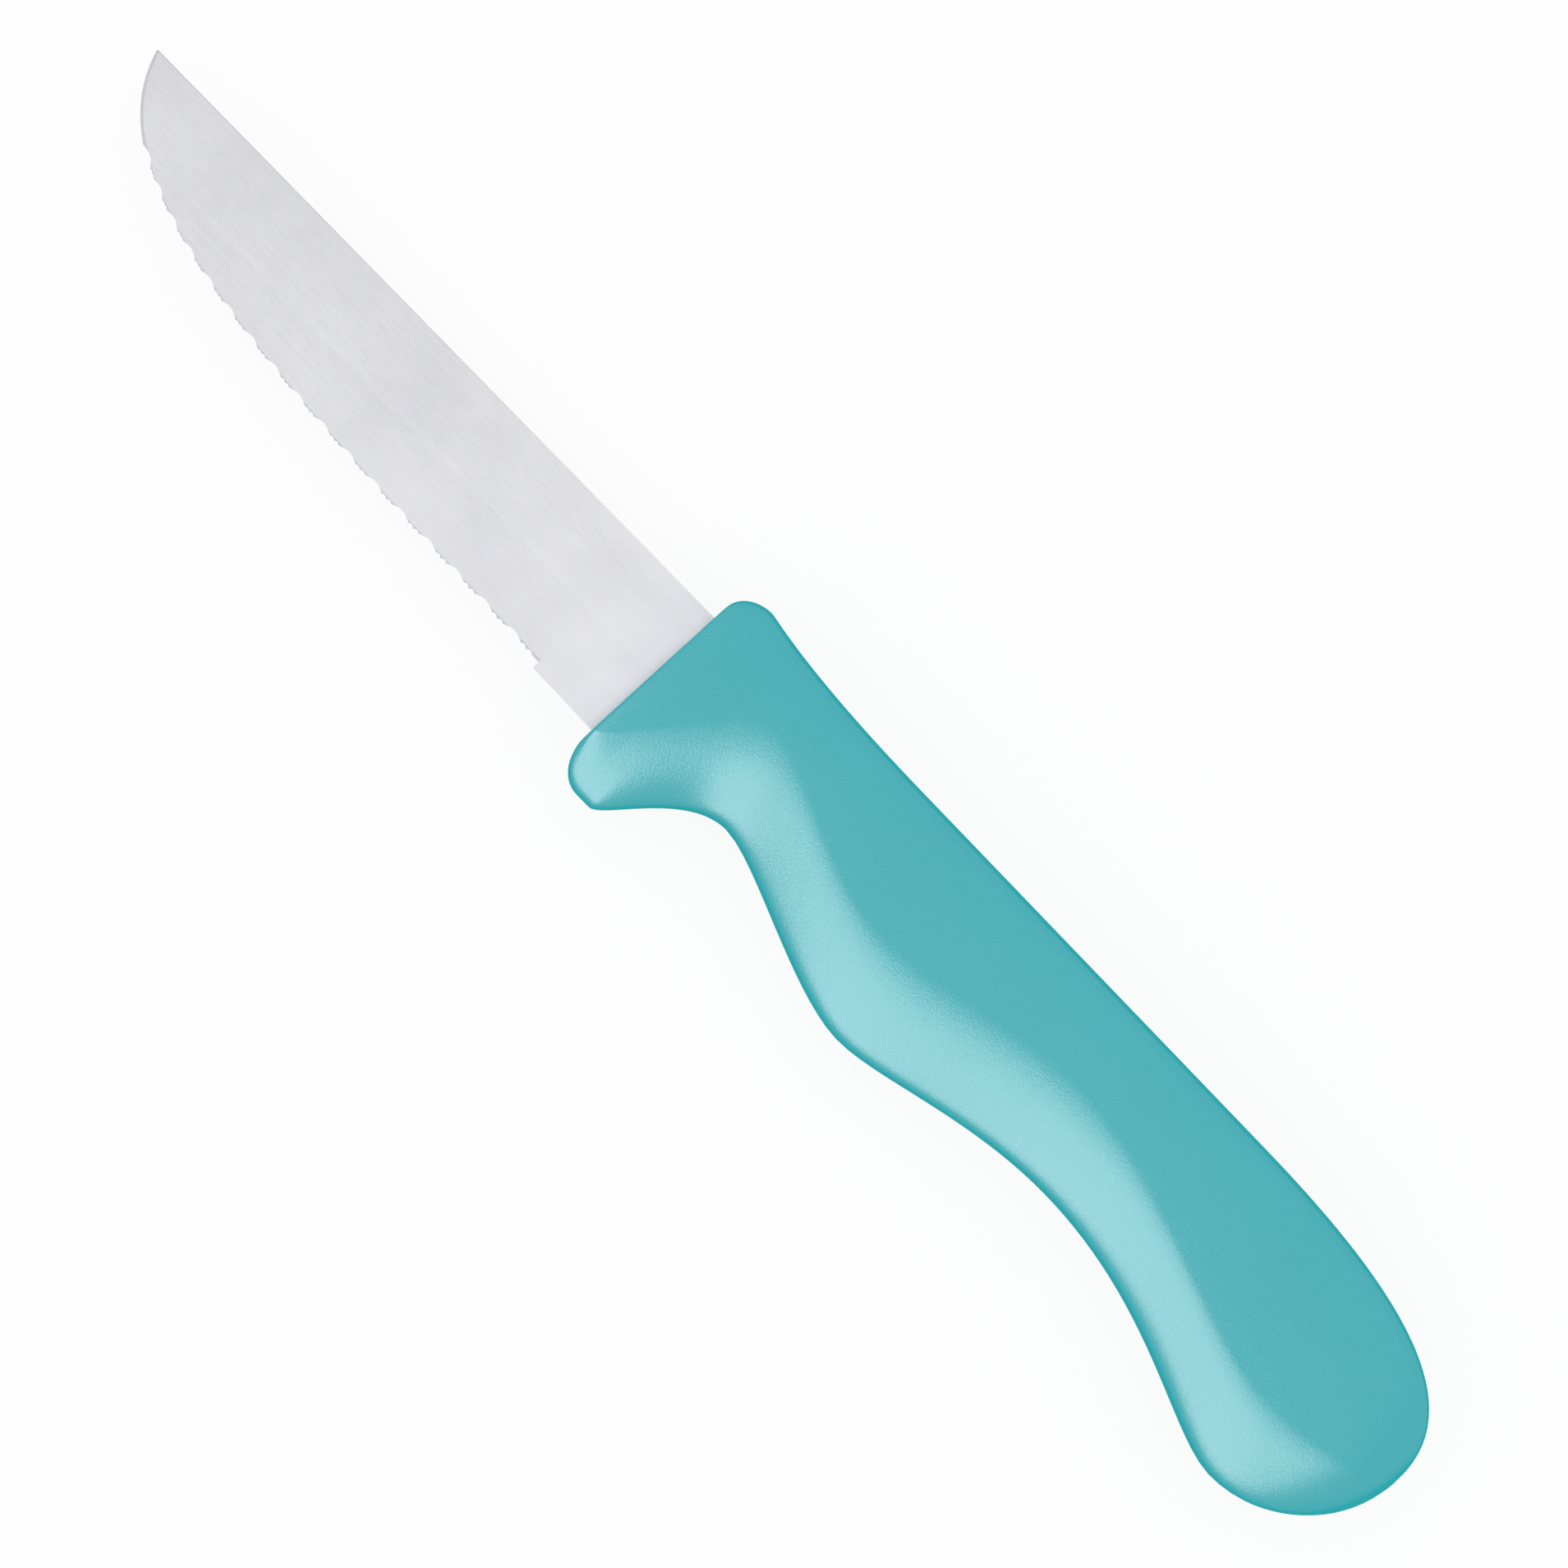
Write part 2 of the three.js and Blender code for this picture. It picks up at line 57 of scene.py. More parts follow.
grip = {
    "length": 121.7,
    "thickness": 14,
    "noseThickness": 12,  # at the front face
    "noseLength": 22,  # full thickness is reached this far back
    "frontRake": 2,  # degrees
    "frontRound": 0.4,  # of the cheeks, at the front face
    "frontPivot": -9.3,  # the front face leans about this height
    "frontInset": 0.25,  # width of the rim round the front face
    "buttRound": 10,  # the cheeks round off over this length
    "cornerRound": 2.5,  # least reach of the underside's rounding
    "undersideCurve": (1.5, 1.5),  # exponents across and up; 2 and 2 would be an ellipse
    "edgeCurve": (60, 2),  # of the blunt edge, nearly square
    "edgeShare": 0.18,  # of the half thickness, in the blunt edge along the underside
    "frontEdgeShare": 0.55,  # the same at the front face
    "backRound": 3,
    "backCurve": (8, 4),
    "buttCurve": (3, 3),
    "flatShare": 0.06,  # least share of the height that stays flat
    "startHeight": -9,  # the first ring is drawn about it, as a circle
    "ringPoints": 66,
    "frontRings": 20,
    "neckRings": 56,
    "gripRings": 56,
    "buttRings": 16,
    "innerLobe": [  # the lobe's form inside its outline, with a softer bend
        ((0, -20.3), (0, 0), (1.6, -2.6)),
        ((4.6, -24.3), (-2.2, 0), (5, 0)),
    ],
    "lobePull": 5,  # exponent: the form follows the outline only near it
    "leastPull": 0.01,  # a ring that would move less stays
    "seamWidth": 0.1,  # half the width of the mould's parting line
    "seamHeight": 0.04,
    "pocketGap": 0.02,  # round the tang
    "pocketMouth": -3,  # the pocket's tool starts in front of the face
    "smoothAngle": 40,  # degrees, past which an edge stays crisp
    # knots of the outline: place, handle before, handle after
    "underside": [
        ((0, -19.8), (0, 0), (0, -2.71)),
        ((3.9, -24.7), (-2.15, 0), (0.6, 0)),
        ((5.8, -24.7), (-0.6, 0), (1.83, 0)),
        ((18, -15.55), (-6.1, 0), (4.81, 0)),
        ((43.3, -23.1), (-7.34, 0), (6.06, 0)),
        ((71.5, -18.6), (-11.99, 0), (17.7, 0)),
        ((106.9, -27.4), (-6.37, 0), (8.14, 0)),
        ((121.7, -13.3), (0, -7.19), (0, 0)),
    ],
    "cheek": [  # where the flat of the cheek turns down to the underside
        ((0, -19.6), (0, 0), (4.5, 6.5)),
        ((13.5, -3.2), (-4, 0), (5, 0)),
        ((38, -11), (-9, 0), (8, 0)),
        ((65, -7), (-9, 0), (14, 0)),
        ((104, -16.5), (-10, 0), (6, 0)),
        ((121.7, -13.3), (0, -1.5), (0, 0)),
    ],
    "back": [
        ((0, 1.9), (0, 0), (0, 1.66)),
        ((4, 4.9), (-2.21, 0), (0.65, 0)),
        ((30, 2.95), (-18.72, 0.18), (18.5, -0.18)),
        ((85.4, 2.42), (-18.5, 0.18), (23.96, -0.23)),
        ((121.7, -13.3), (0, 11.32), (0, 0)),
    ],
}

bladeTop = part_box("blade")[1]
gripLow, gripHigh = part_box("handle")
zero = Vector((gripHigh.x - grip["length"] * mm, bladeTop.y, gripLow.z + grip["thickness"] / 2 * mm))


def place(x, y, z=0):
    return zero + Vector((x, y, z)) * mm


def activate(piece):  # the only piece that the next operator acts on
    bpy.ops.object.select_all(action="DESELECT")
    piece.select_set(True)
    bpy.context.view_layer.objects.active = piece


def added(name):  # the primitive just added, with its place put into its mesh
    piece = bpy.context.object
    piece.name = name
    piece.data.name = name
    bpy.ops.object.transform_apply(location=True, rotation=True, scale=True)
    return piece


def pick(piece, kind, test):  # edit mode: select what passes the test
    bpy.ops.mesh.select_mode(type=kind)
    bpy.ops.mesh.select_all(action="DESELECT")
    mesh = bmesh.from_edit_mesh(piece.data)
    for part in {"VERT": mesh.verts, "EDGE": mesh.edges, "FACE": mesh.faces}[kind]:
        if test(part):
            part.select_set(True)
    mesh.select_flush_mode()
    bmesh.update_edit_mesh(piece.data)


def cut(piece, tool):  # take a tool's shape out of a piece
    activate(piece)
    bpy.ops.object.modifier_add(type="BOOLEAN")
    knife = piece.modifiers[-1]
    knife.operation = "DIFFERENCE"
    knife.solver = "MANIFOLD"
    knife.object = tool
    bpy.ops.object.modifier_apply(modifier=knife.name)
    bpy.data.objects.remove(tool)


def weld(piece):
    activate(piece)
    bpy.ops.object.mode_set(mode="EDIT")
    bpy.ops.mesh.select_all(action="SELECT")
    bpy.ops.mesh.remove_doubles(threshold=weldDistance * mm)
    bpy.ops.mesh.dissolve_degenerate(threshold=weldDistance * mm)
    bpy.ops.mesh.select_all(action="SELECT")
    bpy.ops.mesh.normals_make_consistent(inside=False)
    bpy.ops.object.mode_set(mode="OBJECT")


def lineThrough(knots, steps=64):  # points along a row of bezier knots
    points = []
    for (a, _, afterA), (b, beforeB, _) in zip(knots, knots[1:]):
        a, b = Vector(a), Vector(b)
        points += interpolate_bezier(a, a + Vector(afterA), b + Vector(beforeB), b, steps)[:-1]
    return points + [b]


def heightAt(points, x):  # height of an outline at x
    i = bisect.bisect_left(points, x, 1, len(points) - 1, key=lambda p: p.x)
    before, after = points[i - 1], points[i]
    slope = (after.y - before.y) / (after.x - before.x)
    return before.y + slope * (x - before.x)


# Grip: a ring is extruded from the front face to the butt, and each half of it is sized at every stop
undersideLine = lineThrough(grip["underside"])
innerLine = lineThrough(grip["innerLobe"] + grip["underside"][3:])
cheekLine = lineThrough(grip["cheek"])
backLine = lineThrough(grip["back"])


def halfThickness(x):
    share = min(1, x / grip["noseLength"])
    swell = share * share * (3 - 2 * share)
    body = (grip["noseThickness"] + (grip["thickness"] - grip["noseThickness"]) * swell) / 2
    fromFront = max(0, grip["frontRound"] - x)
    frontLoss = grip["frontRound"] - math.sqrt(grip["frontRound"] ** 2 - fromFront ** 2)
    intoButt = max(0, x - grip["length"] + grip["buttRound"]) / grip["buttRound"]
    along, up = grip["buttCurve"]
    return (body - frontLoss) * (1 - intoButt ** along) ** (1 / up)


def sectionAt(x):  # a broad curve under the flat cheeks and a tight one above them
    top, bottom = heightAt(backLine, x), heightAt(innerLine, x)
    low = math.hypot(grip["cornerRound"], max(0, heightAt(cheekLine, x) - bottom))
    high = grip["backRound"]
    fit = min(1, (1 - grip["flatShare"]) * (top - bottom) / (low + high))
    low, high = low * fit, high * fit
    half = halfThickness(x) / math.cos(math.pi / grip["ringPoints"])  # the ring's own flats touch the cheeks
    return {"low": (bottom + low, low), "high": (top - high, high), "half": half}


def gripStops():  # places of the rings, closer together at the front face and at the butt
    lobe, neck = (grip["underside"][i][0][0] for i in (1, 3))
    butt = grip["length"] - grip["buttRound"]
    quarter = math.pi / 2
    front, nose, middle, end = (grip[name] for name in ("frontRings", "neckRings", "gripRings", "buttRings"))
    stops = [lobe * (1 - math.cos(quarter * i / front)) for i in range(front + 1)]
    stops += [lobe + (neck - lobe) * i / nose for i in range(1, nose)]
    stops += [neck + (butt - neck) * i / middle for i in range(middle)]
    stops += [butt + grip["buttRound"] * math.sin(quarter * i / end) for i in range(end)]
    return stops


def choose(piece, points):  # edit mode: select these points and no others
    mesh = bmesh.from_edit_mesh(piece.data)
    mesh.verts.ensure_lookup_table()
    for point in mesh.verts:
        point.select = False
    for i in points:
        mesh.verts[i].select = True
    mesh.select_flush(False)
    mesh.select_flush(True)


def sizeRing(piece, x, old, new):  # the selected ring, from one section to the next
    split = place(0, (old["low"][0] + old["high"][0]) / 2).y
    ring = {v.index: v.co.y < split for v in bmesh.from_edit_mesh(piece.data).verts if v.select}
    for side, isLow in (("low", True), ("high", False)):
        choose(piece, [i for i in ring if ring[i] == isLow])
        (oldMiddle, oldRadius), (newMiddle, newRadius) = old[side], new[side]
        grow = (1, newRadius / oldRadius, new["half"] / old["half"])
        bpy.ops.transform.resize(value=grow, center_override=place(x, oldMiddle))
        bpy.ops.transform.translate(value=(0, (newMiddle - oldMiddle) * mm, 0))
    choose(piece, ring)


def leftAt(out, curve):  # share of the half thickness left, from 0 at the cheek to 1 at the outline
    across, up = curve
    return max(0, 1 - out ** across) ** (1 / up)


def edgeShareAt(x):  # the lobe is blunt in front
    fade = max(0, 1 - x / grip["underside"][1][0][0])
    return grip["edgeShare"] + (grip["frontEdgeShare"] - grip["edgeShare"]) * fade ** 2


def undersideLeft(out, edge=grip["edgeShare"]):
    return (1 - edge) * leftAt(out, grip["undersideCurve"]) + edge * leftAt(out, grip["edgeCurve"])


def shapeRing(piece, start):  # the first ring, row by row, from a circle to the grip's own section
    middle = place(0, start["low"][0])
    rows = {}
    for point in bmesh.from_edit_mesh(piece.data).verts:
        height = round((point.co.y - middle.y) / mm, 4)
        if abs(height) < 1:  # the top and bottom points stay
            rows.setdefault(height, []).append(point.index)
    for height, row in rows.items():
        choose(piece, row)
        left = undersideLeft(-height) if height < 0 else leftAt(height, grip["backCurve"])
        grow = left / math.sqrt(1 - height ** 2)
        bpy.ops.transform.resize(value=(1, 1, grow), center_override=middle)
    bpy.ops.mesh.select_all(action="SELECT")


def rakeRing(x, share):  # the rings of the nose lean with the front face
    lean = math.radians(grip["frontRake"]) * share
    bpy.ops.transform.rotate(value=lean, orient_axis="Z", center_override=place(x, grip["frontPivot"]))


def pullLobe(piece):  # the lobe's sharp corner is drawn out of the soft form, row by row
    for ring, x in enumerate(gripStops()):
        pull = heightAt(undersideLine, x) - heightAt(innerLine, x)
        edge = edgeShareAt(x)
        if abs(pull) < grip["leastPull"] and edge == grip["edgeShare"]:
            continue
        middle, low = sectionAt(x)["low"]
        mesh = bmesh.from_edit_mesh(piece.data)
        mesh.verts.ensure_lookup_table()
        rows = {}
        for i in range(ring * grip["ringPoints"], (ring + 1) * grip["ringPoints"]):
            out = round((middle - (mesh.verts[i].co.y - zero.y) / mm) / low, 3)
            if out > 0:
                rows.setdefault(min(1, out), []).append(i)
        for out, row in rows.items():
            choose(piece, row)
            bpy.ops.transform.translate(value=(0, pull * out ** grip["lobePull"] * mm, 0))
            if edge > grip["edgeShare"] and out < 1:
                grow = undersideLeft(out, edge) / undersideLeft(out)
                bpy.ops.transform.resize(value=(1, 1, grow), center_override=zero)


def extrudeRing(length):  # the selected ring, towards the butt
    bpy.ops.mesh.extrude_edges_move(TRANSFORM_OT_translate={"value": (length * mm, 0, 0)})


def makeGrip():
    bpy.ops.object.select_all(action="DESELECT")
    middle = grip["startHeight"]
    start = {"low": (middle, 1), "high": (middle, 1), "half": 1}
    bpy.ops.mesh.primitive_circle_add(
        vertices=grip["ringPoints"], radius=mm, fill_type="NGON",
        location=place(0, middle), rotation=(0, math.pi / 2, 0))
    piece = added("handle_moulding")
    bpy.ops.object.mode_set(mode="EDIT")
    bpy.ops.mesh.select_mode(type="VERT")
    bpy.ops.mesh.select_all(action="SELECT")
    shapeRing(piece, start)
    section, before = start, 0
    for x in gripStops():
        if x > 0:
            extrudeRing(x - before)
            rakeRing(x, -max(0, 1 - before / grip["noseLength"]))
        new = sectionAt(x)
        sizeRing(piece, x, section, new)
        rakeRing(x, max(0, 1 - x / grip["noseLength"]))
        section, before = new, x
    extrudeRing(grip["length"] - before)
    bpy.ops.mesh.merge(type="CENTER")
    pullLobe(piece)
    bpy.ops.object.mode_set(mode="OBJECT")
    return piece


def onSeam(point):
    return abs(point.co.z - zero.z) < nearLine * mm


def seam(piece):  # the fine ridge where the two halves of the mould met
    bpy.ops.object.mode_set(mode="EDIT")
    pick(piece, "EDGE", lambda edge: all(onSeam(v) for v in edge.verts))
    bpy.ops.mesh.bevel(offset=grip["seamWidth"] * mm, segments=2, affect="EDGES")
    pick(piece, "VERT", onSeam)
    bpy.ops.transform.shrink_fatten(value=grip["seamHeight"] * mm)
    bpy.ops.object.mode_set(mode="OBJECT")


def frontRim(piece):  # a narrow rim round the flat front face
    bpy.ops.object.mode_set(mode="EDIT")
    pick(piece, "FACE", lambda face: len(face.verts) >= grip["ringPoints"])
    bpy.ops.mesh.inset(thickness=grip["frontInset"] * mm)
    bpy.ops.object.mode_set(mode="OBJECT")


gripPiece = makeGrip()
weld(gripPiece)
seam(gripPiece)
frontRim(gripPiece)
print("grip lofted:", len(gripPiece.data.vertices), "points")

# Blade: a stamped plate with a hidden tang, ground to an edge from its lower face
blade = {
    "thickness": 1.2,
    "edge": [  # tip and heel end of the cutting edge, with their handles
        ((-88.3, -0.1), (0, 0), (4.5, -15)),
        ((-10, -17.4), (-49.3, 0.65), (0, 0)),
    ],
    "heel": (-10, -18.3),  # front corner of the plain heel
    "shoulder": (5, -18.6),  # where the full depth ends, inside the grip
    "tangRoot": (-1.5, -12.5),  # top and bottom of the tang at the shoulder
    "tangEnd": (80, -3, -10),  # reach, top and bottom of its round end
    "holes": [(15, -6.93), (42.5, -6.75), (70, -6.57)],
    "holeRadius": 2.5,
    "pinSides": 48,  # of the tools for the holes
    "pinLength": 4,
    "spineBreak": 0.08,  # bevel on the edges of the back
    "bevelHeight": 3.5,  # ground bevel, up from the cutting edge
    "edgeLand": 0.15,  # thickness that the bevel leaves at the edge
    "plainEdge": 10.5,  # next to the tip
    "pitch": 3.72,  # of the scallop nearest the tip
    "pitchGain": 0.06,  # from each scallop to the next
    "scallop": (2.7, 0.5),  # width and depth
    "tooth": (0.6, 0.18),  # the same, of the small teeth
    "teethPerLand": 2,
    "wheelSides": 96,
    "wheelWidth": 14,
    "honed": (0.35, 0.05),  # width and depth of the fine bevel on the upper face
    "toolReach": 1,  # the tools that grind the bevels run this far past the steel
    "runIn": 4,  # and start this far before the tip
    "curveSteps": 48,  # of the outline, from knot to knot
    "edgeSteps": 600,  # the edge's length is measured in so many
    "sweepSteps": 160,  # of a tool drawn along the edge
    "smoothAngle": 25,
}


def tangKnots(grow):
    (shoulder, bottom), (rootTop, rootBottom) = blade["shoulder"], blade["tangRoot"]
    end, endTop, endBottom = blade["tangEnd"]
    radius = (endTop - endBottom) / 2 + grow
    bend = circleHandle * radius
    return [
        ((shoulder + grow, bottom - grow), straight, straight),
        ((shoulder + grow, rootBottom - grow), straight, straight),
        ((end + grow - radius, endBottom - grow), straight, (bend, 0)),
        ((end + grow, (endTop + endBottom) / 2), (0, -bend), (0, bend)),
        ((end + grow - radius, endTop + grow), (bend, 0), straight),
        ((shoulder + grow, rootTop + grow), straight, straight),
        ((shoulder + grow, grow), straight, straight),
    ]


def drawPlate(name, knots, thickness):  # a flat curve with a thickness, made a mesh
    bpy.ops.object.select_all(action="DESELECT")
    bpy.ops.curve.primitive_bezier_curve_add()
    drawing = bpy.context.object.data
    drawing.dimensions = "2D"
    drawing.fill_mode = "BOTH"
    drawing.resolution_u = blade["curveSteps"]
    drawing.extrude = thickness / 2 * mm
    drawing.splines.clear()
    spline = drawing.splines.new("BEZIER")
    spline.use_cyclic_u = True
    spline.bezier_points.add(len(knots) - 1)
    for point, (at, before, after) in zip(spline.bezier_points, knots):
        at = Vector((*at, 0))
        point.handle_left_type = "FREE" if any(before) else "VECTOR"
        point.handle_right_type = "FREE" if any(after) else "VECTOR"
        point.co = at * mm
        point.handle_left = (at + Vector((*before, 0))) * mm
        point.handle_right = (at + Vector((*after, 0))) * mm
    bpy.ops.object.convert(target="MESH")
    bpy.context.object.location = zero
    piece = added(name)
    weld(piece)
    return piece


def tangPins(name, shrink):  # one pin for each locking hole of the tang
    bpy.ops.object.select_all(action="DESELECT")
    pins = []
    for x, y in blade["holes"]:
        bpy.ops.mesh.primitive_cylinder_add(
            vertices=blade["pinSides"], radius=(blade["holeRadius"] - shrink) * mm,
            depth=blade["pinLength"] * mm, location=place(x, y))
        pins.append(bpy.context.object)
    for pin in pins:
        pin.select_set(True)
    bpy.ops.object.join()
    return added(name)


edgeLine = lineThrough(blade["edge"], blade["edgeSteps"])
edgeLengths = [0]
for a, b in zip(edgeLine, edgeLine[1:]):
    edgeLengths.append(edgeLengths[-1] + (b - a).length)


def edgeAt(distance):  # place and direction on the edge, that far from the tip
    i = bisect.bisect_left(edgeLengths, distance, 1, len(edgeLengths) - 1)
    a, b = edgeLine[i - 1], edgeLine[i]
    along = (b - a).normalized()
    return a + along * (distance - edgeLengths[i - 1]), along


def sweepEdge(name, profile):  # a tool with this section, drawn along the edge
    start, end, steps = -blade["runIn"], edgeLengths[-1], blade["sweepSteps"]
    bpy.ops.object.select_all(action="DESELECT")
    bpy.ops.curve.primitive_bezier_curve_add()
    section = bpy.context.object
    section.data.dimensions = "2D"
    section.data.splines.clear()
    outline = section.data.splines.new("POLY")
    outline.use_cyclic_u = True
    outline.points.add(len(profile) - 1)
    for point, (inboard, up) in zip(outline.points, profile):
        point.co = (-inboard * mm, up * mm, 0, 1)
    bpy.ops.curve.primitive_bezier_curve_add()
    tool = bpy.context.object
    path = tool.data
    path.dimensions = "3D"
    path.twist_mode = "Z_UP"
    path.bevel_mode = "OBJECT"
    path.bevel_object = section
    path.use_fill_caps = True
    path.splines.clear()
    line = path.splines.new("POLY")
    line.points.add(steps)
    for i, point in enumerate(line.points):
        at, _ = edgeAt(start + (end - start) * i / steps)
        point.co = (at.x * mm, at.y * mm, 0, 1)
    activate(tool)
    bpy.ops.object.convert(target="MESH")
    bpy.data.objects.remove(section)
    bpy.context.object.location = zero
    piece = added(name)
    weld(piece)
    return piece


def wheels(name, distances, size):  # one grinding wheel, copied to each place along the edge
    width, depth = size
    bevel = math.atan((blade["thickness"] - blade["edgeLand"]) / blade["bevelHeight"])
    sag = depth * math.sin(bevel)
    radius = (width ** 2 / 4 + sag ** 2) / (2 * sag)
    bite = sag + blade["edgeLand"] * math.cos(bevel)
    bpy.ops.object.select_all(action="DESELECT")
    bpy.ops.mesh.primitive_cylinder_add(
        vertices=blade["wheelSides"], radius=radius * mm, depth=blade["wheelWidth"] * mm)
    wheel = added(name)
    copies = [wheel]
    for _ in distances[1:]:
        activate(wheel)
        bpy.ops.object.duplicate()
        copies.append(bpy.context.object)
    for copy, distance in zip(copies, distances):
        at, along = edgeAt(distance)
        along = Vector((*along, 0))
        outward = Vector((along.y, -along.x, 0))
        axis = outward * math.cos(bevel) + Vector((0, 0, math.sin(bevel)))
        away = outward * math.sin(bevel) - Vector((0, 0, math.cos(bevel)))
        foot = place(at.x, at.y, blade["thickness"] / 2 - blade["edgeLand"])
        turn = Matrix((along, axis.cross(along), axis)).transposed().to_4x4()
        copy.matrix_world = Matrix.Translation(foot + away * (radius - bite) * mm) @ turn
    activate(wheel)
    for copy in copies:
        copy.select_set(True)
    bpy.ops.object.join()
    bpy.ops.object.transform_apply(location=True, rotation=True, scale=True)
    return wheel


def serration():  # middles of the scallops and of the small teeth between them
    scallops, teeth = [], [[] for _ in range(blade["teethPerLand"])]
    start, pitch, width = blade["plainEdge"], blade["pitch"], blade["scallop"][0]
    while start + pitch < edgeLengths[-1]:
        scallops.append(start + pitch / 2)
        for i, row in enumerate(teeth):
            row.append(start + (pitch + width) / 2 + (i + 0.5) / len(teeth) * (pitch - width))
        start += pitch
        pitch += blade["pitchGain"]
    return scallops, teeth


def onSpine(edge):  # a long edge on the back of the blade
    a, b = (point.co for point in edge.verts)
    return max(abs(a.y - zero.y), abs(b.y - zero.y)) < nearLine * mm and abs(a.x - b.x) > mm


def makeBlade():
    tip, edgeEnd = blade["edge"]
    outline = [((tip[0][0], 0), straight, straight), tip, edgeEnd, (blade["heel"], straight, straight)]
    piece = drawPlate("blade_steel", outline + tangKnots(0), blade["thickness"])
    activate(piece)
    bpy.ops.object.mode_set(mode="EDIT")
    pick(piece, "EDGE", onSpine)
    bpy.ops.mesh.bevel(offset=blade["spineBreak"] * mm, segments=3, affect="EDGES")
    bpy.ops.object.mode_set(mode="OBJECT")
    cut(piece, tangPins("drill", 0))
    print("blade stamped")
    half, land = blade["thickness"] / 2, blade["edgeLand"]
    slope = (blade["thickness"] - land) / blade["bevelHeight"]
    reach = blade["toolReach"]
    wedge = [(-reach, half - land), (0, half - land), (blade["bevelHeight"] + reach, -half - slope * reach),
             (-reach, -half - slope * reach)]
    cut(piece, sweepEdge("wedge", wedge))
    width, depth = blade["honed"]
    hone = [(-reach, half - depth * (1 + reach / width)), (2 * width, half + depth), (-reach, half + depth)]
    cut(piece, sweepEdge("hone", hone))
    print("blade ground")
    scallops, teeth = serration()
    for row, size in ((scallops[::2], blade["scallop"]), (scallops[1::2], blade["scallop"]),
                      *((row, blade["tooth"]) for row in teeth)):
        cut(piece, wheels("wheels", row, size))
    weld(piece)
    print("blade serrated:", len(scallops), "scallops")
    return piece


bladePiece = makeBlade()


def pocket():  # the space that the steel takes up in the grip, less the pegs in its holes
    gap, mouth = grip["pocketGap"], grip["pocketMouth"]
    bottom = blade["shoulder"][1] - gap
    knots = [((mouth, gap), straight, straight), ((mouth, bottom), straight, straight)] + tangKnots(gap)
    tool = drawPlate("pocket", knots, blade["thickness"] + 2 * gap)
    cut(tool, tangPins("pegs", gap))
    return tool


cut(gripPiece, pocket())
weld(gripPiece)
for piece, values in ((gripPiece, grip), (bladePiece, blade)):
    activate(piece)
    bpy.ops.object.shade_smooth_by_angle(angle=math.radians(values["smoothAngle"]))
print("grip moulded round the tang:", len(gripPiece.data.vertices), "points")


# Materials
def colour(hexValue):  # sRGB hex to linear
    parts = [int(hexValue[i:i + 2], 16) / 255 for i in (1, 3, 5)]
    return (*(c / 12.92 if c <= 0.04045 else ((c + 0.055) / 1.055) ** 2.4 for c in parts), 1)


def node(tree, kind, settings=None, links=None):  # one node with its settings and what feeds it
    made = tree.nodes.new(kind)
    for name, value in (settings or {}).items():
        if isinstance(name, str) and name in made.bl_rna.properties:
            setattr(made, name, value)
        else:
            made.inputs[name].default_value = value
    for name, source in (links or {}).items():
        tree.links.new(source, made.inputs[name])
    return made


def newMaterial(name):
    material = bpy.data.materials.new(name)
    material.use_nodes = True
    material.node_tree.nodes.clear()
    return material, material.node_tree


def perMetre(size):  # texture scale for a feature of this size in millimetres
    return 1 / (size * mm)


noiseLow, noiseHigh = 0.3, 0.7  # a noise texture seldom leaves these values


# Polypropylene moulded in a spark-eroded tool: a soft gloss, broken by an even, fine grain.
# Seen at a low angle the grain shades itself, so the gloss fades there instead of rising.
plastic = {
    "body": "#2EA8B0",
    "cloud": "#33ACB4",
    "cloudSize": 14,
    "grainSize": 0.22,  # drawn coarser than the real 0.1 mm, which would not show
    "grainHeight": 0.03,
    "roughness": (0.24, 0.32),
    "ior": 1.55,
    "gloss": 0.5,  # specular level, seen square on
    "glossFade": (0.2, 0.6),  # from square on, 0, to edge on, 1
}


def mouldedPlastic():
    material, tree = newMaterial("moulded_polypropylene")
    at = node(tree, "ShaderNodeTexCoord").outputs["Object"]
    cloud = node(tree, "ShaderNodeTexNoise", {
        "Scale": perMetre(plastic["cloudSize"]), "Detail": 3}, {"Vector": at})
    tint = node(tree, "ShaderNodeMix", {  # sockets 6 and 7 are its two colours
        "data_type": "RGBA", 6: colour(plastic["body"]), 7: colour(plastic["cloud"])},
        {0: cloud.outputs["Fac"]})
    grain = node(tree, "ShaderNodeTexNoise", {
        "Scale": perMetre(plastic["grainSize"]), "Detail": 2}, {"Vector": at})
    smooth, rough = plastic["roughness"]
    gloss = node(tree, "ShaderNodeMapRange", {
        "From Min": noiseLow, "From Max": noiseHigh, "To Min": smooth, "To Max": rough},
        {"Value": grain.outputs["Fac"]})
    bump = node(tree, "ShaderNodeBump", {
        "Distance": plastic["grainHeight"] * mm}, {"Height": grain.outputs["Fac"]})
    facing = node(tree, "ShaderNodeLayerWeight", {"Blend": 0.5})
    fadeStart, fadeEnd = plastic["glossFade"]
    level = node(tree, "ShaderNodeMapRange", {
        "interpolation_type": "SMOOTHSTEP", "From Min": fadeStart, "From Max": fadeEnd,
        "To Min": plastic["gloss"], "To Max": 0}, {"Value": facing.outputs["Facing"]})
    shader = node(tree, "ShaderNodeBsdfPrincipled", {"IOR": plastic["ior"]}, {
        "Base Color": tint.outputs[2], "Roughness": gloss.outputs["Result"],
        "Normal": bump.outputs["Normal"], "Specular IOR Level": level.outputs["Result"]})
    node(tree, "ShaderNodeOutputMaterial", links={"Surface": shader.outputs["BSDF"]})
    return material


